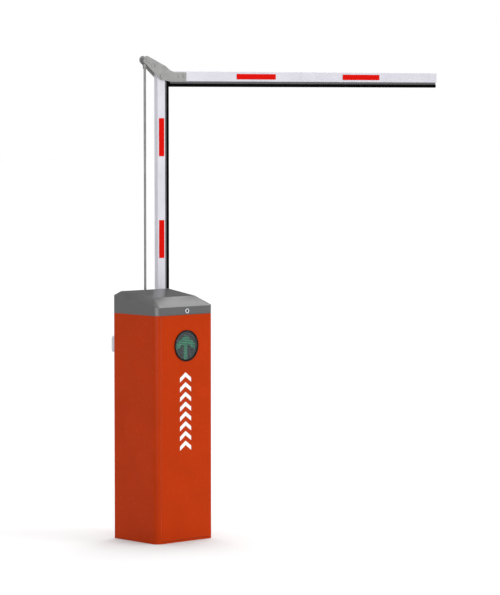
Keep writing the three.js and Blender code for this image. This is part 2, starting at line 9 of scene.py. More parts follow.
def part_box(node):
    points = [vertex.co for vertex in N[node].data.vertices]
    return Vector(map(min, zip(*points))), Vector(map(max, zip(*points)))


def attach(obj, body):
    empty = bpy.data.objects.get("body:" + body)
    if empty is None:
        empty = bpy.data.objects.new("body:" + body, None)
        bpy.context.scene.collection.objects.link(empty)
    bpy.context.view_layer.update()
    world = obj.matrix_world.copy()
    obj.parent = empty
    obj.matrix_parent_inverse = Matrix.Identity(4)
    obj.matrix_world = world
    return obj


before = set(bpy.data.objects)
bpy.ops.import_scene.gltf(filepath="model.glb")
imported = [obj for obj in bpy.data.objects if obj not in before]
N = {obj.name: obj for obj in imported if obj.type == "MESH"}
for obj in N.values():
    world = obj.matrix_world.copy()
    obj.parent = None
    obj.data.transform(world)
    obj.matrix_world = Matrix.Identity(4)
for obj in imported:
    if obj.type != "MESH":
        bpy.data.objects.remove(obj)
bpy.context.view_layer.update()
scene = bpy.context.scene
random.seed(7)

W, D, R = 0.305, 0.271, 0.022
FRONT = -D / 2


# ------------------------------------------------------------------ colour
def lin(r, g, b, a=1.0):
    def f(v):
        v /= 255.0
        return v / 12.92 if v <= 0.04045 else ((v + 0.055) / 1.055) ** 2.4

    return (f(r), f(g), f(b), a)


# ------------------------------------------------------------------ materials
class Mat:
    """A small node-tree builder round one Principled shader."""

    def __init__(self, name, rough=0.5, metal=0.0, **sockets):
        self.m = bpy.data.materials.new(name)
        self.m.use_nodes = True
        self.t = self.m.node_tree
        self.b = self.t.nodes["Principled BSDF"]
        self.b.inputs["Roughness"].default_value = rough
        self.b.inputs["Metallic"].default_value = metal
        for k, v in sockets.items():
            self.b.inputs[k.replace("_", " ")].default_value = v
        self.co = self.t.nodes.new("ShaderNodeTexCoord").outputs["Object"]
        self.last_normal = None

    def node(self, kind, **props):
        n = self.t.nodes.new(kind)
        for k, v in props.items():
            setattr(n, k, v)
        return n

    def link(self, a, b):
        self.t.links.new(a, b)

    def scaled(self, s):
        n = self.node("ShaderNodeMapping")
        n.inputs["Scale"].default_value = s
        self.link(self.co, n.inputs["Vector"])
        return n.outputs["Vector"]

    def noise(self, scale, detail=3.0, rough=0.5, stretch=None, offset=None):
        n = self.node("ShaderNodeTexNoise")
        n.inputs["Scale"].default_value = scale
        n.inputs["Detail"].default_value = detail
        n.inputs["Roughness"].default_value = rough
        self.link(self.scaled(stretch) if stretch else self.co, n.inputs["Vector"])
        return n.outputs["Fac"]

    def ramp(self, fac, stops):
        n = self.node("ShaderNodeValToRGB")
        e = n.color_ramp.elements
        while len(e) > 2:
            e.remove(e[-1])
        e[0].position, e[0].color = stops[0]
        e[1].position, e[1].color = stops[-1]
        for p, c in stops[1:-1]:
            x = e.new(p)
            x.color = c
        self.link(fac, n.inputs["Fac"])
        return n.outputs["Color"]

    def mix(self, fac, a, b, blend="MIX"):
        n = self.node("ShaderNodeMix", data_type="RGBA", blend_type=blend)
        for sock, v in ((n.inputs[0], fac), (n.inputs[6], a), (n.inputs[7], b)):
            if isinstance(v, (float, int)):
                sock.default_value = v
            elif isinstance(v, tuple):
                sock.default_value = v
            else:
                self.link(v, sock)
        return n.outputs[2]

    def rng(self, fac, lo, hi, a=0.0, b=1.0):
        n = self.node("ShaderNodeMapRange")
        n.inputs["From Min"].default_value = a
        n.inputs["From Max"].default_value = b
        n.inputs["To Min"].default_value = lo
        n.inputs["To Max"].default_value = hi
        self.link(fac, n.inputs["Value"])
        return n.outputs["Result"]

    def edges(self, lo=0.52, hi=0.60):
        g = self.node("ShaderNodeNewGeometry")
        return self.rng(g.outputs["Pointiness"], 0.0, 1.0, lo, hi)

    def color(self, out):
        self.link(out, self.b.inputs["Base Color"])
        return self

    def rough(self, out):
        self.link(out, self.b.inputs["Roughness"])
        return self

    def bump(self, height, dist, strength=1.0):
        n = self.node("ShaderNodeBump")
        n.inputs["Strength"].default_value = strength
        n.inputs["Distance"].default_value = dist
        self.link(height, n.inputs["Height"])
        if self.last_normal is not None:
            self.link(self.last_normal, n.inputs["Normal"])
        self.last_normal = n.outputs["Normal"]
        self.link(self.last_normal, self.b.inputs["Normal"])
        return self


def shade(c, k):
    return (c[0] * k, c[1] * k, c[2] * k, 1.0)


def powder(name, base, rough=0.42, peel=0.00004, metal=0.0, wear=None, **kw):
    """Powder coat: orange-peel bump, faint mottling, slightly worn edges, a little dust."""
    m = Mat(name, rough, metal, **kw)
    big = m.noise(9.0, 3.0)
    fine = m.noise(420.0, 2.0)
    c = m.ramp(big, [(0.3, shade(base, 0.95)), (0.7, shade(base, 1.05))])
    speck = m.noise(1500.0, 1.0)
    c = m.mix(m.rng(speck, 0.0, 0.16, 0.55, 0.75), c, shade(base, 0.75))
    if wear:
        w = m.node("ShaderNodeMath", operation="MULTIPLY")
        m.link(m.edges(0.56, 0.66), w.inputs[0])
        m.link(m.rng(m.noise(60.0, 4.0), 0.0, 0.7, 0.45, 0.7), w.inputs[1])
        c = m.mix(w.outputs[0], c, wear)
    m.color(c)
    m.rough(m.rng(m.noise(60.0, 3.0), rough - 0.015, rough + 0.02, 0.3, 0.7))
    m.bump(fine, peel, 1.0)
    return m.m


def brushed(name, base, rough=0.34, axis="X", metal=1.0, **kw):
    """Drawn or brushed metal with fine lines along one axis."""
    m = Mat(name, rough, metal, **kw)
    s = {"X": (4, 900, 900), "Y": (900, 4, 900), "Z": (900, 900, 4)}[axis]
    lines = m.noise(1.0, 2.0, 0.6, stretch=s)
    c = m.ramp(lines, [(0.3, shade(base, 0.86)), (0.7, shade(base, 1.1))])
    cloud = m.noise(30.0, 4.0)
    m.color(m.mix(m.rng(cloud, 0.0, 0.25, 0.4, 0.7), c, shade(base, 0.78)))
    m.rough(m.rng(cloud, rough - 0.06, rough + 0.1, 0.3, 0.7))
    m.bump(lines, 0.00003, 0.8)
    return m.m


def zinc(name, base, rough=0.36):
    """Zinc plating: patchy spangle with small roughness changes."""
    m = Mat(name, rough, 0.92)
    v = m.node("ShaderNodeTexVoronoi")
    v.inputs["Scale"].default_value = 260.0
    m.link(m.co, v.inputs["Vector"])
    c = m.ramp(m.noise(70.0, 3.0), [(0.3, shade(base, 0.85)), (0.7, shade(base, 1.08))])
    m.color(m.mix(m.rng(v.outputs["Distance"], 0.0, 0.2, 0.0, 0.9), c, shade(base, 0.7)))
    m.rough(m.rng(v.outputs["Distance"], rough - 0.06, rough + 0.1, 0.0, 0.9))
    m.bump(m.noise(900.0, 2.0), 0.00002, 0.8)
    return m.m


def cast(name, base, rough=0.5, metal=0.35):
    """Blasted or sand-cast metal with a fine grain."""
    m = Mat(name, rough, metal)
    c = m.ramp(m.noise(40.0, 5.0), [(0.3, shade(base, 0.9)), (0.7, shade(base, 1.07))])
    grain = m.noise(1100.0, 3.0)
    c = m.mix(m.rng(grain, 0.0, 0.22, 0.5, 0.75), c, shade(base, 0.72))
    c = m.mix(m.edges(0.57, 0.68), c, shade(base, 1.25))
    m.color(c)
    m.rough(m.rng(m.noise(120.0, 3.0), rough - 0.06, rough + 0.08, 0.3, 0.7))
    m.bump(grain, 0.00009, 0.7)
    return m.m


def plastic(name, base, rough=0.5, grain=0.00004, **kw):
    m = Mat(name, rough, 0.0, **kw)
    g = m.noise(1300.0, 2.0)
    c = m.ramp(m.noise(14.0, 3.0), [(0.3, shade(base, 0.94)), (0.7, shade(base, 1.05))])
    m.color(c)
    m.rough(m.rng(m.noise(50.0, 3.0), rough - 0.05, rough + 0.08, 0.3, 0.7))
    m.bump(g, grain, 0.8)
    return m.m


def rubber(name, base, dust):
    m = Mat(name, 0.78, 0.0, Specular_IOR_Level=0.03)
    g = m.noise(700.0, 3.0)
    c = m.mix(m.rng(m.noise(18.0, 5.0), 0.0, 0.35, 0.5, 0.8), base, dust)
    m.color(c)
    m.rough(m.rng(g, 0.68, 0.9, 0.3, 0.7))
    m.bump(g, 0.00006, 0.8)
    return m.m


def reflective(name, base):
    """Retro-reflective film: a honeycomb of sealed cells under a clear face."""
    m = Mat(name, 0.36, 0.0, Specular_IOR_Level=0.03)
    v = m.node("ShaderNodeTexVoronoi", feature="DISTANCE_TO_EDGE")
    v.inputs["Scale"].default_value = 300.0
    v.inputs["Randomness"].default_value = 0.15
    m.link(m.co, v.inputs["Vector"])
    wall = m.rng(v.outputs["Distance"], 1.0, 0.0, 0.03, 0.09)
    c = m.ramp(m.noise(12.0, 2.0), [(0.3, shade(base, 0.96)), (0.7, shade(base, 1.04))])
    m.color(m.mix(wall, c, shade(base, 0.78)))
    m.bump(wall, 0.00002, 0.4)
    return m.m


ORANGE = (0.356, 0.0270, 0.0012, 1)
GREY = (0.079, 0.079, 0.0795, 1)
LOW = {"Specular_IOR_Level": 0.045}
M = {
    "orange_paint": powder("orange_paint", ORANGE, 0.26, 0.000007, **LOW),
    # lighter copies of the orange and grey paint for the bevelled edges: a painted highlight; their higher specular
    # level is the paint's own
    "orange_edge_painted_highlight": powder("orange_edge_painted_highlight", (0.40, 0.045, 0.008, 1), 0.34, 0.00006, Specular_IOR_Level=0.3),
    "grey_paint": powder("grey_paint", GREY, 0.31, 0.000012, Specular_IOR_Level=0.42),
    "grey_edge_painted_highlight": powder("grey_edge_painted_highlight", (0.115, 0.115, 0.116, 1), 0.32, 0.00006, Specular_IOR_Level=0.35),
    "cast_grey": cast("cast_grey", (0.262, 0.262, 0.259, 1), 0.5, 0.1),
    "gear_cast": cast("gear_cast", (0.30, 0.31, 0.32, 1), 0.52, 0.5),
    "boom_white": powder("boom_white", (0.515, 0.51, 0.555, 1), 0.34, 0.00002, Specular_IOR_Level=0.2),
    # bare aluminium of the rubber's channel, darker than the metal is: painted shade of its recess
    "rail_grey": brushed("rail_grey", (0.098, 0.097, 0.102, 1), 0.42, "X", 0.2),
    "rod_grey": brushed("rod_grey", (0.15, 0.15, 0.154, 1), 0.4, "Z", 0.2),
    "black_rubber": rubber("black_rubber", (0.0012, 0.0012, 0.0012, 1), (0.0035, 0.0035, 0.0035, 1)),
    "red_reflective": reflective("red_reflective", (0.54, 0.0035, 0.0012, 1)),
    "zinc_steel": zinc("zinc_steel", (0.42, 0.43, 0.45, 1)),
    "rod_end_grey": cast("rod_end_grey", (0.17, 0.17, 0.172, 1), 0.46, 0.2),
    "dark_steel": cast("dark_steel", (0.07, 0.075, 0.085, 1), 0.46, 0.6),
    "chrome": zinc("chrome", (0.72, 0.73, 0.75, 1), 0.16),
    "bezel_black": plastic("bezel_black", (0.006, 0.0045, 0.0045, 1), 0.5, Specular_IOR_Level=0.12),
    "brass": zinc("brass", (0.48, 0.33, 0.10, 1), 0.3),
    "cable_black": rubber("cable_black", (0.010, 0.010, 0.011, 1), (0.03, 0.03, 0.03, 1)),
    "cover_grey": plastic("cover_grey", (0.20, 0.21, 0.225, 1), 0.42),
    "button_green": plastic("button_green", (0.02, 0.22, 0.07, 1), 0.35),
    "button_red": plastic("button_red", (0.35, 0.012, 0.01, 1), 0.35),
    "black_plastic": plastic("black_plastic", (0.012, 0.0125, 0.014, 1), 0.42, Specular_IOR_Level=0.25),
    "light_plastic": plastic("light_plastic", (0.47, 0.49, 0.53, 1), 0.45),
    "led_board": plastic("led_board", (0.012, 0.026, 0.022, 1), 0.5),
    "motor_blue_grey": cast("motor_blue_grey", (0.065, 0.085, 0.11, 1), 0.5, 0.3),
    "white_mark": powder("white_mark", (0.70, 0.70, 0.70, 1), 0.4, 0.00001, Specular_IOR_Level=0.2),
}
lens = Mat("smoked_lens", 0.08, 0.0, Alpha=0.36, Coat_Weight=0.5, Coat_Roughness=0.05, IOR=1.49)
lens.color(lens.ramp(lens.noise(8.0, 2.0), [(0.3, lin(34, 44, 46)), (0.7, lin(44, 52, 56))]))
lens.rough(lens.rng(lens.noise(40.0, 3.0), 0.06, 0.13, 0.3, 0.7))
M["smoked_lens"] = lens.m
win = Mat("window_dark", 0.1, 0.0, Coat_Weight=0.5, Coat_Roughness=0.04)
win.color(win.ramp(win.noise(30.0, 2.0), [(0.3, (0.006, 0.008, 0.009, 1)), (0.7, (0.012, 0.014, 0.016, 1))]))
win.rough(win.rng(win.noise(60.0, 3.0), 0.08, 0.16, 0.3, 0.7))
M["window_dark"] = win.m
dot = Mat("signal_dot", 0.25, 0.0, Emission_Strength=0.55)
dot.color(dot.ramp(dot.noise(90.0, 2.0), [(0.3, lin(70, 190, 140)), (0.7, lin(110, 215, 170))]))
dot.b.inputs["Emission Color"].default_value = lin(60, 190, 140)
M["signal_dot"] = dot.m
doff = Mat("signal_dot_off", 0.25, 0.0)
doff.color(doff.ramp(doff.noise(90.0, 2.0), [(0.3, lin(96, 104, 108)), (0.7, lin(120, 126, 130))]))
M["signal_dot_off"] = doff.m


# painted parts and the lighter edge copy of their paint, which paints a highlight on the bevels
EDGE_HIGHLIGHT = {"orange_paint": "orange_edge_painted_highlight", "grey_paint": "grey_edge_painted_highlight"}


def dress(node, slot_name, bevel=0.0, seg=3, angle=32, smooth=34, edge=True):
    """Finish for a CAD node: material, rounded edges and smooth round faces."""
    o = N[node]
    o.data.materials.clear()
    o.data.materials.append(M[slot_name])
    o.data.polygons.foreach_set("material_index", [0] * len(o.data.polygons))
    o.data.polygons.foreach_set("use_smooth", [True] * len(o.data.polygons))
    o.data.set_sharp_from_angle(angle=math.radians(smooth))
    if bevel:
        w = o.modifiers.new("weld", "WELD")
        w.merge_threshold = 1e-6
        b = o.modifiers.new("edges", "BEVEL")
        b.width = bevel
        b.segments = seg
        b.limit_method = "ANGLE"
        b.angle_limit = math.radians(angle)
        b.use_clamp_overlap = True
        # the bevel faces of painted parts get the lighter edge copy of the paint: a painted highlight
        if slot_name in EDGE_HIGHLIGHT and edge:
            o.data.materials.append(M[EDGE_HIGHLIGHT[slot_name]])
            b.material = 1
        n = o.modifiers.new("normals", "WEIGHTED_NORMAL")
        n.keep_sharp = True
        n.weight = 100
    return o


def mesh(name, build, material, body, smooth=40, bevel=0.0, seg=2):
    """A new piece from a bmesh builder."""
    bm = bmesh.new()
    build(bm)
    bmesh.ops.recalc_face_normals(bm, faces=bm.faces)
    me = bpy.data.meshes.new(name)
    bm.to_mesh(me)
    bm.free()
    o = bpy.data.objects.new(name, me)
    scene.collection.objects.link(o)
    me.materials.append(material)
    me.polygons.foreach_set("use_smooth", [True] * len(me.polygons))
    me.set_sharp_from_angle(angle=math.radians(smooth))
    if bevel:
        b = o.modifiers.new("edges", "BEVEL")
        b.width, b.segments = bevel, seg
        b.limit_method = "ANGLE"
        b.angle_limit = math.radians(30)
        n = o.modifiers.new("normals", "WEIGHTED_NORMAL")
        n.keep_sharp = True
        n.weight = 100
    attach(o, body)
    return o


def bm_box(bm, lo, hi):
    m = Matrix.Translation((Vector(lo) + Vector(hi)) / 2) @ Matrix.Diagonal(
        (*(Vector(hi) - Vector(lo)), 1.0)
    )
    return bmesh.ops.create_cube(bm, size=1.0, matrix=m)["verts"]


def axis_matrix(axis):
    return {
        "Z": Matrix.Identity(4),
        "Y": Matrix.Rotation(math.radians(-90), 4, "X"),
        "X": Matrix.Rotation(math.radians(90), 4, "Y"),
    }[axis]


def bm_cyl(bm, c, r, h, axis="Y", n=32, r2=None):
    """Cylinder or cone centred at c along an axis (r at the low end, r2 at the high end)."""
    bmesh.ops.create_cone(
        bm,
        cap_ends=True,
        segments=n,
        radius1=r,
        radius2=r if r2 is None else r2,
        depth=h,
        matrix=Matrix.Translation(c) @ axis_matrix(axis),
    )


def bm_lathe(bm, c, profile, axis="Y", n=48):
    """Turned solid: profile [(radius, along)] closed onto the axis or itself."""
    rot = axis_matrix(axis)
    rings = []
    for r, a in profile:
        if r < 1e-9:
            rings.append([bm.verts.new((rot @ Vector((0, 0, a))) + Vector(c))])
        else:
            rings.append(
                [
                    bm.verts.new((rot @ Vector((r * math.cos(t), r * math.sin(t), a))) + Vector(c))
                    for t in (2 * math.pi * i / n for i in range(n))
                ]
            )
    for k in range(len(rings)):
        p, q = rings[k], rings[(k + 1) % len(rings)]
        if k == len(rings) - 1 and (len(p) == 1 or len(q) == 1) and len(p) == len(q):
            continue
        for i in range(n):
            j = (i + 1) % n
            f = [p[i % len(p)], p[j % len(p)], q[j % len(q)], q[i % len(q)]]
            u = []
            for v in f:
                if v not in u:
                    u.append(v)
            if len(u) > 2:
                bm.faces.new(u)


# ------------------------------------------------------------------ CAD nodes
DRESS = {
    "housing_shell": ("orange_paint", 0.0008),
    "door_panel": ("orange_paint", 0.0009),
    "front_top_rail": ("orange_paint", 0.0006),
    "lid_shell": ("grey_paint", 0.0016),
    "base_plate": ("zinc_steel", 0.0006),
    "frame_plate_rear": ("dark_steel", 0.0008),
    "frame_plate_front": ("dark_steel", 0.0008),
    "frame_spacer_1": ("zinc_steel", 0.0006),
    "frame_spacer_2": ("zinc_steel", 0.0006),
    "bearing_rear": ("gear_cast", 0.001),
    "bearing_front": ("gear_cast", 0.001),
    "shaft_seal_ring": ("black_plastic", 0.0006),
    "gearbox_housing": ("gear_cast", 0.003),
    "drive_motor": ("motor_blue_grey", 0.002),
    "balance_spring": ("zinc_steel", 0.0),
    "buffer_open": ("black_rubber", 0.001),
    "buffer_closed": ("black_rubber", 0.001),
    "controller_unit": ("light_plastic", 0.002),
    "receiver_module": ("light_plastic", 0.003),
    "rod_anchor_bracket": ("cast_grey", 0.001),
    "rod_anchor_nut": ("zinc_steel", 0.0005),
    "hinge_leaf_lower": ("orange_paint", 0.0004),
    "hinge_leaf_upper": ("orange_paint", 0.0004),
    "hinge_knuckle_lower": ("orange_paint", 0.0004),
    "hinge_knuckle_upper": ("orange_paint", 0.0004),
    "main_shaft": ("zinc_steel", 0.0006),
    "drive_lever": ("gear_cast", 0.001),
    "spring_hub": ("gear_cast", 0.001),
    "crank_arm": ("dark_steel", 0.001),
    "connecting_rod": ("zinc_steel", 0.0006),
    "boom_clamp": ("cast_grey", 0.0012),
    "clamp_cover_plate": ("cast_grey", 0.001),
    "clamp_bolt_1": ("zinc_steel", 0.0005),
    "clamp_bolt_2": ("zinc_steel", 0.0005),
    "boom_tube": ("boom_white", 0.0006),
    "arm_tube": ("boom_white", 0.0006),
    "boom_rubber": ("black_rubber", 0.0005),
    "arm_rubber": ("black_rubber", 0.0005),
    "boom_foot_cap": ("black_plastic", 0.001),
    "arm_end_cap": ("light_plastic", 0.001),
    "boom_reflector_lower": ("red_reflective", 0.0),
    "boom_reflector_upper": ("red_reflective", 0.0),
    "arm_reflector_inner": ("red_reflective", 0.0),
    "arm_reflector_outer": ("red_reflective", 0.0),
    "elbow_pin": ("cast_grey", 0.0008),
    "elbow_plate_front": ("cast_grey", 0.0012),
    "elbow_plate_rear": ("cast_grey", 0.0012),
    "elbow_spacer": ("cast_grey", 0.0005),
    "lever_pin": ("cast_grey", 0.0008),
    "arm_bolt_1": ("cast_grey", 0.0006),
    "arm_bolt_2": ("cast_grey", 0.0006),
    "link_rod": ("rod_grey", 0.0),
    "rod_end_lower": ("rod_end_grey", 0.0006),
    "rod_end_upper": ("rod_end_grey", 0.0006),
    "lock_barrel": ("chrome", 0.0006),
    "lock_plug": ("dark_steel", 0.0004),
    "lock_cam": ("zinc_steel", 0.0005),
    "signal_housing": ("bezel_black", 0.0008),
    "signal_board": ("led_board", 0.0),
    "signal_lens": ("smoked_lens", 0.0008),
}
for node, (m, bev) in DRESS.items():
    if node == "lid_shell":
        dress(node, m, bev, angle=20, smooth=20)
    else:
        dress(node, m, bev)

# the rubber's channel on the tubes is bare aluminium, its grey darkened further as painted shade of the recess
def second(node, material, test):
    o = N[node]
    o.data.materials.append(M[material])
    for f in o.data.polygons:
        if test(f.center):
            f.material_index = 1


bx = 0.120 + 0.0211
ez = 1.890 - 0.0211
second("boom_tube", "rail_grey", lambda c: c.x > bx)
second("arm_tube", "rail_grey", lambda c: c.z < ez)

# ------------------------------------------------------------------ signal: dotted arrow
lo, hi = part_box("signal_board")
cx, cz = (lo.x + hi.x) / 2, (lo.z + hi.z) / 2
y_face = lo.y
PITCH = 0.0066


def dots(bm, points, r, y, out=0.0016):
    for x, z in points:
        n = 10
        prev = None
        for k in range(4):
            a = (math.pi / 2) * k / 3
            rr, yy = r * math.cos(a), y - out * math.sin(a)
            if k == 3:
                tip = bm.verts.new((x, yy, z))
                for i in range(n):
                    bm.faces.new((prev[i], prev[(i + 1) % n], tip))
                break
            ring = [
                bm.verts.new((x + rr * math.cos(t), yy, z + rr * math.sin(t)))
                for t in (2 * math.pi * i / n for i in range(n))
            ]
            if prev:
                for i in range(n):
                    bm.faces.new((prev[i], prev[(i + 1) % n], ring[(i + 1) % n], ring[i]))
            else:
                bm.faces.new(list(reversed(ring)))
            prev = ring


lit, dark = [], []
for i in range(-8, 9):
    for j in range(-8, 9):
        x, z = i * PITCH, j * PITCH
        if math.hypot(x, z) > 0.0535:
            continue
        shaft = abs(x) < 0.011 and z < 0.03
        # arrow head: two thick diagonals that meet at the top
        head = abs(x) < 0.050 and 0.014 - 0.66 * abs(x) < z < 0.043 - 0.66 * abs(x)
        (lit if shaft or head else dark).append((cx + x, cz + z))
mesh("signal_arrow_dots", lambda bm: dots(bm, lit, 0.0027, y_face), M["signal_dot"], "front_door")
mesh("signal_dark_dots", lambda bm: dots(bm, dark, 0.0023, y_face), M["signal_dot_off"], "front_door")

# ------------------------------------------------------------------ white chevrons on the door
def chevrons(bm):
    x0, x1 = -0.0276, 0.0315
    z0, z1 = 0.372, 0.690
    n = 8
    step = (z1 - z0) / n
    t = 0.0175
    rise = 0.022
    y0, y1 = FRONT - 0.00035, FRONT + 0.0002
    xm = (x0 + x1) / 2
    for k in range(n):
        z = z0 + step * k
        pts = [(x0, z), (xm, z + rise), (x1, z), (x1, z + t), (xm, z + rise + t), (x0, z + t)]
        f = [bm.verts.new((x, y0, zz)) for x, zz in pts]
        b = [bm.verts.new((x, y1, zz)) for x, zz in pts]
        for quad in ((0, 1, 4, 5), (1, 2, 3, 4)):
            bm.faces.new([f[i] for i in quad])
            bm.faces.new([b[i] for i in reversed(quad)])
        for i in range(6):
            j = (i + 1) % 6
            bm.faces.new((f[j], f[i], b[i], b[j]))


mesh("door_chevrons", chevrons, M["white_mark"], "front_door")

# ------------------------------------------------------------------ small parts
S2 = math.sqrt(0.5)
AXES = {
    "+X": Matrix.Rotation(math.radians(90), 4, "Y"),
    "-X": Matrix.Rotation(math.radians(-90), 4, "Y"),
    "+Y": Matrix.Rotation(math.radians(-90), 4, "X"),
    "-Y": Matrix.Rotation(math.radians(90), 4, "X"),
    "+Z": Matrix.Identity(4),
    "-Z": Matrix.Rotation(math.radians(180), 4, "X"),
}


def turned(bm, at, facing, profile, n=24, turn=0.0):
    """Turned solid standing on `at`, its profile [(radius, height)] along `facing`."""
    m = Matrix.Translation(Vector(at)) @ AXES[facing] @ Matrix.Rotation(turn, 4, "Z")
    rings = []
    for r, a in profile:
        k = 1 if r < 1e-9 else n
        rings.append(
            [
                bm.verts.new(m @ Vector((r * math.cos(2 * math.pi * i / n), r * math.sin(2 * math.pi * i / n), a)))
                for i in range(k)
            ]
        )
    closed = len(rings[0]) > 1
    for k in range(len(rings) if closed else len(rings) - 1):
        p, q = rings[k], rings[(k + 1) % len(rings)]
        for i in range(n):
            j = (i + 1) % n
            f = []
            for v in (p[i % len(p)], p[j % len(p)], q[j % len(q)], q[i % len(q)]):
                if v not in f:
                    f.append(v)
            if len(f) > 2:
                bm.faces.new(f)


def socket_screw(bm, at, facing, r, h):
    turned(
        bm,
        at,
        facing,
        [(0, -0.0004), (r, -0.0004), (r, h * 0.8), (r * 0.88, h), (r * 0.56, h), (r * 0.5, h * 0.9), (r * 0.5, h * 0.35), (0, h * 0.3)],
        18,
    )


def hex_bolt(bm, at, facing, r, h, washer=True):
    t = 0.0
    if washer:
        t = r * 0.18
        turned(bm, at, facing, [(0, -0.0004), (r * 1.32, -0.0004), (r * 1.34, t * 0.6), (r * 1.28, t), (0, t)], 24)
    turned(bm, at, facing, [(0, t), (r, t), (r * 1.0, h * 0.86), (r * 0.9, h), (r * 0.45, h), (0, h * 0.97)], 6, 0.26)


def pan_screw(bm, at, facing, r, h):
    turned(
        bm,
        at,
        facing,
        [(0, -0.0004), (r, -0.0004), (r * 0.97, h * 0.4), (r * 0.8, h * 0.8), (r * 0.42, h), (r * 0.36, h * 0.5), (0, h * 0.45)],
        18,
    )


def frame_box(bm, lo, hi, edge=0.0):
    """Box with bevelled edges built in."""
    g = bm_box(bm, lo, hi)
    if edge:
        edges = list({e for v in g for e in v.link_edges})
        bmesh.ops.bevel(bm, geom=edges, offset=edge, segments=3, profile=0.5, affect="EDGES")


def swept(bm, pts, section, closed=False):
    """Closed section [(u, v)] swept along points; u is sideways, v is towards `up`."""
    n = len(pts)
    rings = []
    for i, p in enumerate(pts):
        a = pts[i - 1] if (i or closed) else pts[i]
        b = pts[(i + 1) % n] if (i < n - 1 or closed) else pts[i]
        t = (Vector(b) - Vector(a)).normalized()
        up = Vector((0, -1, 0))
        side = t.cross(up).normalized()
        t1 = (Vector(p) - Vector(a)).normalized() if (i or closed) else t
        k = 1.0 / max(0.5, abs(t1.dot(t)))
        rings.append([bm.verts.new(Vector(p) + side * u * k + up * v) for u, v in section])
    m = len(section)
    for i in range(n if closed else n - 1):
        p, q = rings[i], rings[(i + 1) % n]
        for j in range(m):
            bm.faces.new((p[j], p[(j + 1) % m], q[(j + 1) % m], q[j]))
    if not closed:
        bm.faces.new(rings[0])
        bm.faces.new(list(reversed(rings[-1])))


def smooth_path(pts, step=0.004):
    """Catmull-Rom curve through points."""
    P = [Vector(p) for p in pts]
    P = [P[0] * 2 - P[1]] + P + [P[-1] * 2 - P[-2]]
    out = []
    for i in range(1, len(P) - 2):
        a, b, c, d = P[i - 1], P[i], P[i + 1], P[i + 2]
        k = max(2, int((c - b).length / step))
        for s in range(k):
            t = s / k
            out.append(
                0.5 * ((2 * b) + (c - a) * t + (2 * a - 5 * b + 4 * c - d) * t * t + (3 * b - a - 3 * c + d) * t ** 3)
            )
    out.append(P[-2])
    return out


def hose(bm, pts, r, n=12, ribs=0.0, pitch=0.005):
    """Round hose along points, with ribs for corrugated conduit."""
    path = smooth_path(pts, pitch / 2 if ribs else 0.006)
    t = (path[1] - path[0]).normalized()
    side = t.orthogonal().normalized()
    rings = []
    for i, p in enumerate(path):
        t = (path[min(i + 1, len(path) - 1)] - path[max(i - 1, 0)]).normalized()
        side = (side - t * side.dot(t)).normalized()
        up = t.cross(side)
        rr = r + (ribs if i % 2 else -ribs)
        rings.append([bm.verts.new(p + (side * math.cos(a) + up * math.sin(a)) * rr) for a in (2 * math.pi * k / n for k in range(n))])
    for p, q in zip(rings, rings[1:]):
        for j in range(n):
            bm.faces.new((p[j], p[(j + 1) % n], q[(j + 1) % n], q[j]))
    bm.faces.new(list(reversed(rings[0])))
    bm.faces.new(rings[-1])


def gland(bm, at, facing, r):
    turned(bm, at, facing, [(0, -0.001), (r, -0.001), (r, r * 0.55), (r * 0.98, r * 0.6), (0, r * 0.6)], 6)
    turned(bm, at, facing, [(0, r * 0.6), (r * 0.86, r * 0.6), (r * 0.86, r * 1.1), (r * 0.62, r * 1.55), (r * 0.5, r * 1.6), (0, r * 1.6)], 20)


def mm(*v):
    return tuple(x / 1000.0 for x in v)


Y0 = FRONT * 1000.0  # front face, mm
YB = -Y0  # back face, mm

# door: gasket in one loop, two stiffeners, the signal's back with its screws and gland
def gasket(bm):
    x0, x1, z0, z1, rc = -121.0, 126.0, 18.0, 916.0, 10.0
    pts = []
    for cx_, cz_, a0 in ((x1 - rc, z1 - rc, 0), (x0 + rc, z1 - rc, 90), (x0 + rc, z0 + rc, 180), (x1 - rc, z0 + rc, 270)):
        for k in range(5):
            a = math.radians(a0 + 22.5 * k)
            pts.append(mm(cx_ + rc * math.cos(a), Y0 + 3.0, cz_ + rc * math.sin(a)))
    w = [(-0.0042, 0.0), (-0.0042, -0.0016), (-0.003, -0.0036), (0, -0.0044), (0.003, -0.0036), (0.0042, -0.0016), (0.0042, 0.0)]
    swept(bm, pts, w, closed=True)


mesh("door_gasket", gasket, M["black_rubber"], "front_door")


def stiffeners(bm):
    for z in (250.0, 560.0):
        prof = [(-16, 0), (-16, 1.4), (-10.5, 1.4), (-7.5, 7.5), (7.5, 7.5), (10.5, 1.4), (16, 1.4), (16, 0)]
        a = [bm.verts.new(mm(-108, Y0 + 3.0 + v, z + u)) for u, v in prof]
        b = [bm.verts.new(mm(112, Y0 + 3.0 + v, z + u)) for u, v in prof]
        n = len(prof)
        for i in range(n):
            j = (i + 1) % n
            bm.faces.new((a[i], a[j], b[j], b[i]))
        bm.faces.new(a)
        bm.faces.new(list(reversed(b)))


mesh("door_stiffeners", stiffeners, M["orange_paint"], "front_door", bevel=0.0005)


def signal_back(bm):
    y = Y0 + 30.0
    turned(bm, mm(6, y, 798), "+Y", [(0, -0.0005), (0.0575, -0.0005), (0.0575, 0.0012), (0.0555, 0.0026), (0.030, 0.0026), (0.0285, 0.0042), (0, 0.0042)], 48)
    for k in range(4):
        a = math.radians(45 + 90 * k)
        pan_screw(bm, mm(6 + 50 * math.cos(a), y + 2.4, 798 + 50 * math.sin(a)), "+Y", 0.0036, 0.0024)


mesh("signal_back_cover", signal_back, M["black_plastic"], "front_door")
mesh("signal_gland", lambda bm: gland(bm, mm(6, Y0 + 17, 738), "-Z", 0.0085), M["black_plastic"], "front_door")

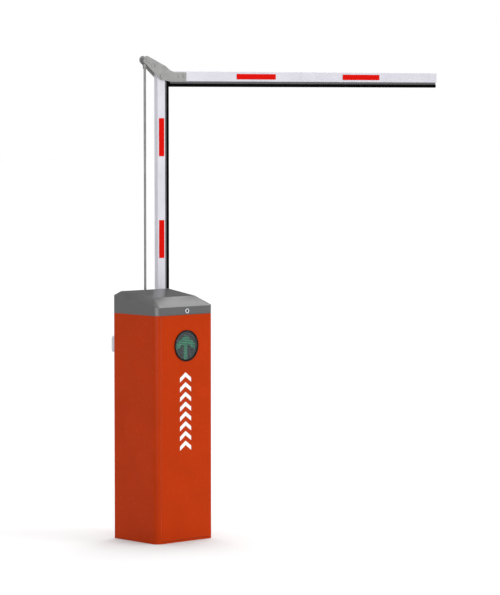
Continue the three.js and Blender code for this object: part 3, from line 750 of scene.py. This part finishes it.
# drive frame: socket screws into the spacers and the gearbox, bolts round the bearings
def front_screws(bm):
    y = -32.0
    for x, z in ((8, 415), (8, 872)):
        hex_bolt(bm, mm(x, y, z), "-Y", 0.0066, 0.0066)
    for dx, dz in ((-38, -42), (-38, 42), (36, 42), (36, -42)):
        socket_screw(bm, mm(92 + dx, y, 540 + dz), "-Y", 0.0062, 0.0062)
    for x, z in ((120, 858), (82, 820), (120, 782)):
        socket_screw(bm, mm(x, y, z), "-Y", 0.005, 0.005)
    for x, z in ((8, 415), (8, 872)):
        hex_bolt(bm, mm(x, 102, z), "+Y", 0.0066, 0.0066)


mesh("frame_screws", front_screws, M["zinc_steel"], "cabinet")


def crank_bolt(bm):
    hex_bolt(bm, mm(92, -58, 540), "-Y", 0.0095, 0.0085)


mesh("crank_bolt", crank_bolt, M["zinc_steel"], "crank")


def lever_bolt(bm):
    hex_bolt(bm, mm(120, -68, 820), "-Y", 0.0095, 0.008)
    for k in range(2):
        a = math.radians(90 + 180 * k)
        socket_screw(bm, mm(120 + 19.5 * math.cos(a), -60, 820 + 19.5 * math.sin(a)), "-Y", 0.0034, 0.003)


mesh("shaft_end_bolt", lever_bolt, M["zinc_steel"], "boom")


def rod_clips(bm):
    for x, z in ((92 - 70 * S2, 540 - 70 * S2), (120 - 70 * S2, 820 - 70 * S2)):
        turned(bm, mm(x, -69.0, z), "-Y", [(0.0062, -0.0002), (0.0102, -0.0002), (0.0104, 0.0007), (0.0100, 0.0012), (0.0062, 0.0012)], 28)


mesh("rod_clips", rod_clips, M["dark_steel"], "connecting_rod")

# gearbox: cover bolts, oil plug, sight glass and ribs
def gear_bolts(bm):
    for dx, dz in ((-37, -43), (-37, 2), (-37, 47), (31, -43), (31, 2), (31, 47)):
        hex_bolt(bm, mm(92 + dx, 78, 540 + dz), "+Y", 0.0052, 0.005, False)
    socket_screw(bm, mm(92 - 52, 20, 540 - 36), "-X", 0.0075, 0.005)


mesh("gearbox_bolts", gear_bolts, M["zinc_steel"], "cabinet")


def ribs(bm):
    x = 92 - 52
    for z in (505, 523, 541, 559, 577):
        frame_box(bm, mm(x - 5, -22, z - 1.8), mm(x + 0.6, 4, z + 1.8), 0.0008)
    for z in (523, 541, 559, 577):
        frame_box(bm, mm(x - 5, 34, z - 1.8), mm(x + 0.6, 64, z + 1.8), 0.0008)


mesh("gearbox_ribs", ribs, M["gear_cast"], "cabinet")
mesh(
    "oil_sight",
    lambda bm: turned(bm, mm(40, 20, 552), "-X", [(0, -0.0006), (0.0085, -0.0006), (0.0085, 0.003), (0.0072, 0.0042), (0.0055, 0.0042), (0.0048, 0.0026), (0, 0.0026)], 28),
    M["brass"],
    "cabinet",
)

# motor: cooling fins, fan cover grille, terminal box lid and gland
def fins(bm):
    n = 34
    for k in range(n):
        a = 2 * math.pi * k / n
        if 160 < math.degrees(a) < 200:
            continue
        c, s_ = math.cos(a), math.sin(a)
        r0_, r1_, t0, t1 = 40.4, 46.0, 1.5, 0.9
        z0_, z1_ = 324.0, 468.0
        ring = []
        for z, cut_ in ((z0_, 2.0), (z1_, 2.0)):
            ring.append(
                [
                    bm.verts.new(mm(92 + r * c - t * s_, 26 + r * s_ + t * c, z))
                    for r, t in ((r0_, -t0), (r1_, -t1), (r1_, t1), (r0_, t0))
                ]
            )
        a_, b_ = ring
        for i in range(4):
            j = (i + 1) % 4
            bm.faces.new((a_[i], a_[j], b_[j], b_[i]))
        bm.faces.new(list(reversed(a_)))
        bm.faces.new(b_)


mesh("motor_fins", fins, M["motor_blue_grey"], "cabinet", bevel=0.0004, seg=2)


def fan_cover(bm):
    for r in (9.0, 16.0, 23.0, 30.0):
        turned(bm, mm(92, 26, 300), "-Z", [((r - 1.3) / 1000, -0.0006), ((r + 1.3) / 1000, -0.0006), ((r + 1.1) / 1000, 0.0016), ((r - 1.1) / 1000, 0.0016)], 36)
    for k in range(4):
        a = math.radians(45 + 90 * k)
        for r0_, r1_ in ((5.0, 32.0),):
            c, s_ = math.cos(a), math.sin(a)
            q = [mm(92 + r * c - t * s_, 26 + r * s_ + t * c, z) for z in (300.4, 298.0) for r, t in ((r0_, -1.2), (r1_, -1.2), (r1_, 1.2), (r0_, 1.2))]
            v = [bm.verts.new(p) for p in q]
            for f in ((0, 1, 2, 3), (7, 6, 5, 4), (0, 4, 5, 1), (1, 5, 6, 2), (2, 6, 7, 3), (3, 7, 4, 0)):
                bm.faces.new([v[i] for i in f])
    turned(bm, mm(92, 26, 318.6), "+Z", [(0.0362, -0.004), (0.0385, -0.003), (0.0405, 0.0014), (0.0362, 0.0014)], 40)


mesh("fan_cover", fan_cover, M["black_plastic"], "cabinet")


def terminal_lid(bm):
    frame_box(bm, mm(26.2, 9.5, 391.5), mm(30.6, 42.5, 448.5), 0.0012)


mesh("terminal_box_lid", terminal_lid, M["motor_blue_grey"], "cabinet")


def terminal_screws(bm):
    for y, z in ((13.5, 396), (38.5, 396), (13.5, 444), (38.5, 444)):
        pan_screw(bm, mm(26.2, y, z), "-X", 0.0028, 0.002)


mesh("terminal_screws", terminal_screws, M["zinc_steel"], "cabinet")
mesh("motor_gland", lambda bm: gland(bm, mm(42, 26, 390), "-Z", 0.0080), M["black_plastic"], "cabinet")

# controller: lid seam, screws, display, buttons, glands and fixed wiring
def controller_lid(bm):
    frame_box(bm, mm(-127, 56.5, 473), mm(-29, 61.6, 677), 0.0018)


mesh("controller_lid", controller_lid, M["cover_grey"], "cabinet")


def controller_screws(bm):
    for x in (-121, -35):
        for z in (479, 671):
            pan_screw(bm, mm(x, 56.5, z), "-Y", 0.0032, 0.0018)


mesh("controller_screws", controller_screws, M["zinc_steel"], "cabinet")


def controller_window(bm):
    frame_box(bm, mm(-108, 55.3, 612), mm(-60, 57.0, 640), 0.0008)


mesh("controller_window", controller_window, M["window_dark"], "cabinet")


def keys(colour_z):
    return lambda bm: turned(bm, mm(colour_z[0], 56.6, colour_z[1]), "-Y", [(0, -0.0004), (0.0062, -0.0004), (0.0062, 0.0012), (0.005, 0.0012), (0.0048, 0.0034), (0.0036, 0.0042), (0, 0.0044)], 28)


mesh("key_up", keys((-100, 590)), M["button_green"], "cabinet")
mesh("key_stop", keys((-84, 590)), M["button_red"], "cabinet")
mesh("key_down", keys((-68, 590)), M["button_green"], "cabinet")


def vents(bm):
    for k in range(6):
        z = 500 + 9 * k
        frame_box(bm, mm(-108, 55.4, z), mm(-48, 56.9, z + 3.4), 0.0006)


mesh("controller_louvres", vents, M["cover_grey"], "cabinet")


def glands(bm):
    for x in (-100, -78, -56):
        gland(bm, mm(x, 95, 460), "-Z", 0.0085)


mesh("controller_glands", glands, M["black_plastic"], "cabinet")


def wiring(bm):
    # supply cable from the floor opening, and the receiver's cable tied beside it
    hose(bm, [mm(-100, 95, 452), mm(-100, 96, 400), mm(-99, 97, 220), mm(-92, 80, 90), mm(-72, 30, 30), mm(-66, 10, 4)], 0.0042)
    hose(bm, [mm(-78, 95, 452), mm(-79, 97, 400), mm(-88, 98, 220), mm(-80, 78, 96), mm(-58, 28, 36), mm(-52, 8, 4)], 0.0036)


mesh("supply_cables", wiring, M["cable_black"], "cabinet")
mesh(
    "motor_conduit",
    lambda bm: hose(bm, [mm(-56, 95, 450), mm(-56, 95, 420), mm(-48, 90, 350), mm(-14, 60, 300), mm(26, 34, 310), mm(41, 27, 345), mm(42, 26, 382)], 0.0062, 14, 0.0006, 0.0056),
    M["cable_black"],
    "cabinet",
)


# receiver: seam round the cover, sensor window and screws
def receiver_cover(bm):
    pts = []
    for cx_, cz_, a0 in ((-107, 820.5, 0), (-133, 820.5, 90), (-133, 771.5, 180), (-107, 771.5, 270)):
        for k in range(6):
            a = math.radians(a0 + 18 * k)
            pts.append((cx_ + 7.4 * math.cos(a), cz_ + 7.4 * math.sin(a)))
    lo_ = [bm.verts.new(mm(x, 159.0, z)) for x, z in pts]
    md = [bm.verts.new(mm(x, 160.6, z)) for x, z in pts]
    hi_ = [bm.verts.new(mm(-120 + (x + 120) * 0.93, 161.6, 796 + (z - 796) * 0.96)) for x, z in pts]
    n = len(pts)
    for a, b in ((lo_, md), (md, hi_)):
        for i in range(n):
            j = (i + 1) % n
            bm.faces.new((a[i], a[j], b[j], b[i]))
    bm.faces.new(hi_)
    bm.faces.new(list(reversed(lo_)))


mesh("receiver_cover", receiver_cover, M["light_plastic"], "cabinet", bevel=0.0004)
mesh(
    "receiver_window",
    lambda bm: turned(bm, mm(-120, 161.4, 808), "+Y", [(0, -0.0004), (0.0088, -0.0004), (0.0088, 0.0008), (0.0074, 0.0016), (0.004, 0.0024), (0, 0.0026)], 32),
    M["window_dark"],
    "cabinet",
)


def receiver_screws(bm):
    for x, z in ((-134.0, 822.0), (-106.0, 822.0), (-134.0, 770.0), (-106.0, 770.0)):
        pan_screw(bm, mm(x + (1.6 if x < -120 else -1.6), 161.2, z + (-1.2 if z > 800 else 1.2)), "+Y", 0.0019, 0.0012)


mesh("receiver_screws", receiver_screws, M["zinc_steel"], "cabinet")


def bracket_screws(bm):
    for dx in (-17, 17):
        for dz in (-17, 17):
            socket_screw(bm, mm(40 + dx, YB + 5, 886 + dz), "+Y", 0.004, 0.0038)


mesh("bracket_screws", bracket_screws, M["zinc_steel"], "cabinet")

# elbow: hex nuts on the back of the cross bolts, washers under the heads
def elbow_nuts(bm):
    y = 161 + 11.6 + 4
    for x in (120 + 94, 120 + 122):
        hex_bolt(bm, mm(x, y, 1890), "+Y", 0.0066, 0.0056)
    hex_bolt(bm, mm(40, y, 1956), "+Y", 0.0078, 0.0062)


mesh("elbow_nuts", elbow_nuts, M["zinc_steel"], "arm")


def elbow_washers(bm):
    y = 161 - 11.6 - 4
    for x, z, r in ((214, 1890, 0.0088), (242, 1890, 0.0088), (40, 1956, 0.0098)):
        turned(bm, mm(x, y, z), "-Y", [(0, -0.0003), (r, -0.0003), (r, 0.0007), (r - 0.0006, 0.0011), (0, 0.0011)], 28)


mesh("elbow_washers", elbow_washers, M["cast_grey"], "arm")


def clamp_washers(bm):
    y = 161 + 11 + 5.3
    for dz in (-55, 55):
        turned(bm, mm(120, y, 820 + dz), "+Y", [(0.0052, -0.0003), (0.0128, -0.0003), (0.0128, 0.0012), (0.012, 0.0019), (0.0052, 0.0019)], 30)


mesh("clamp_washers", clamp_washers, M["zinc_steel"], "boom")

# ------------------------------------------------------------------ floor, light, camera
fl = Mat("floor", 0.85, 0.0, Specular_IOR_Level=0.0, Emission_Strength=0.01)
fl.b.inputs["Emission Color"].default_value = (1, 1, 1, 1)
fl.color(fl.ramp(fl.noise(0.6, 2.0), [(0.3, (0.552, 0.552, 0.554, 1)), (0.7, (0.560, 0.560, 0.562, 1))]))
bm = bmesh.new()
bmesh.ops.create_grid(bm, x_segments=2, y_segments=2, size=60.0)
me = bpy.data.meshes.new("floor")
bm.to_mesh(me)
bm.free()
floor = bpy.data.objects.new("floor", me)
floor.location = (0, 0, -0.0002)
me.materials.append(fl.m)
scene.collection.objects.link(floor)

world = bpy.data.worlds.new("world")
scene.world = world
world.use_nodes = True
bg = world.node_tree.nodes["Background"]
bg.inputs["Color"].default_value = (1.0, 1.0, 1.0, 1)
bg.inputs["Strength"].default_value = 1.0
wt = world.node_tree
dim = wt.nodes.new("ShaderNodeBackground")
dim.inputs["Color"].default_value = (1.0, 1.0, 1.0, 1)
dim.inputs["Strength"].default_value = 0.12
fill = wt.nodes.new("ShaderNodeBackground")
fill.inputs["Color"].default_value = (1.0, 1.0, 1.0, 1)
fill.inputs["Strength"].default_value = 0.96
path = wt.nodes.new("ShaderNodeLightPath")
wmix = wt.nodes.new("ShaderNodeMixShader")
wt.links.new(path.outputs["Is Glossy Ray"], wmix.inputs[0])
wt.links.new(fill.outputs[0], wmix.inputs[1])
wt.links.new(dim.outputs[0], wmix.inputs[2])
seen = wt.nodes.new("ShaderNodeMixShader")
wt.links.new(path.outputs["Is Camera Ray"], seen.inputs[0])
wt.links.new(wmix.outputs[0], seen.inputs[1])
wt.links.new(bg.outputs[0], seen.inputs[2])
wt.links.new(seen.outputs[0], wt.nodes["World Output"].inputs["Surface"])


def area(name, loc, target, size, power, color=(1, 1, 1)):
    d = bpy.data.lights.new(name, "AREA")
    d.shape = "DISK"
    d.size = size
    d.energy = power
    d.color = color
    o = bpy.data.objects.new(name, d)
    o.location = loc
    o.rotation_mode = "QUATERNION"
    o.rotation_quaternion = (Vector(target) - Vector(loc)).to_track_quat("-Z", "Y")
    scene.collection.objects.link(o)
    return o


sun = bpy.data.lights.new("key", "SUN")
sun.energy = 1.5
sun.angle = math.radians(38)
so = bpy.data.objects.new("key", sun)
so.rotation_mode = "QUATERNION"
so.rotation_quaternion = Vector((-0.55, 0.76, -0.36)).to_track_quat("-Z", "Y")
scene.collection.objects.link(so)
so.visible_glossy = False
area("top_right", (4.2, 2.0, 5.2), (0, 0, 1.0), 2.4, 45)
top = bpy.data.lights.new("overhead", "SUN")
top.energy = 2.5
top.angle = math.radians(50)
to = bpy.data.objects.new("overhead", top)
to.rotation_mode = "QUATERNION"
to.rotation_quaternion = Vector((-0.22, -0.25, -0.94)).to_track_quat("-Z", "Y")
scene.collection.objects.link(to)
to.visible_glossy = False
area("front_left", (-4.6, -4.9, 1.6), (0, 0, 0.9), 1.6, 60)
for k, (dx, dy, watts) in enumerate(((-0.97, -0.25, 110), (-0.80, -0.60, 150), (-0.50, -0.87, 120), (-0.10, -0.99, 80))):
    panel = area(f"panel_{k + 1}", (6.9 * dx, 6.9 * dy, 1.5), (0, 0, 0.9), 3.0, watts)
    panel.visible_diffuse = False

scene.view_settings.view_transform = "Standard"
scene.view_settings.look = "None"

TH, PITCH_DOWN, F = 0.7359, 0.06461, 3068.38
cam = bpy.data.cameras.new("camera")
cam.sensor_fit = "AUTO"
cam.sensor_width = 36.0
cam.lens = F / 595.0 * 36.0
cam.clip_end = 500.0
co = bpy.data.objects.new("camera", cam)
fh = Vector((math.sin(TH), math.cos(TH), 0.0))
right = Vector((math.cos(TH), -math.sin(TH), 0.0))
fwd = fh * math.cos(PITCH_DOWN) + Vector((0, 0, -math.sin(PITCH_DOWN)))
up = fh * math.sin(PITCH_DOWN) + Vector((0, 0, math.cos(PITCH_DOWN)))
rot = Matrix((right, up, -fwd)).transposed()
co.matrix_world = Matrix.Translation((-8.12543, -9.49983, 1.79604)) @ rot.to_4x4()
scene.collection.objects.link(co)
scene.camera = co
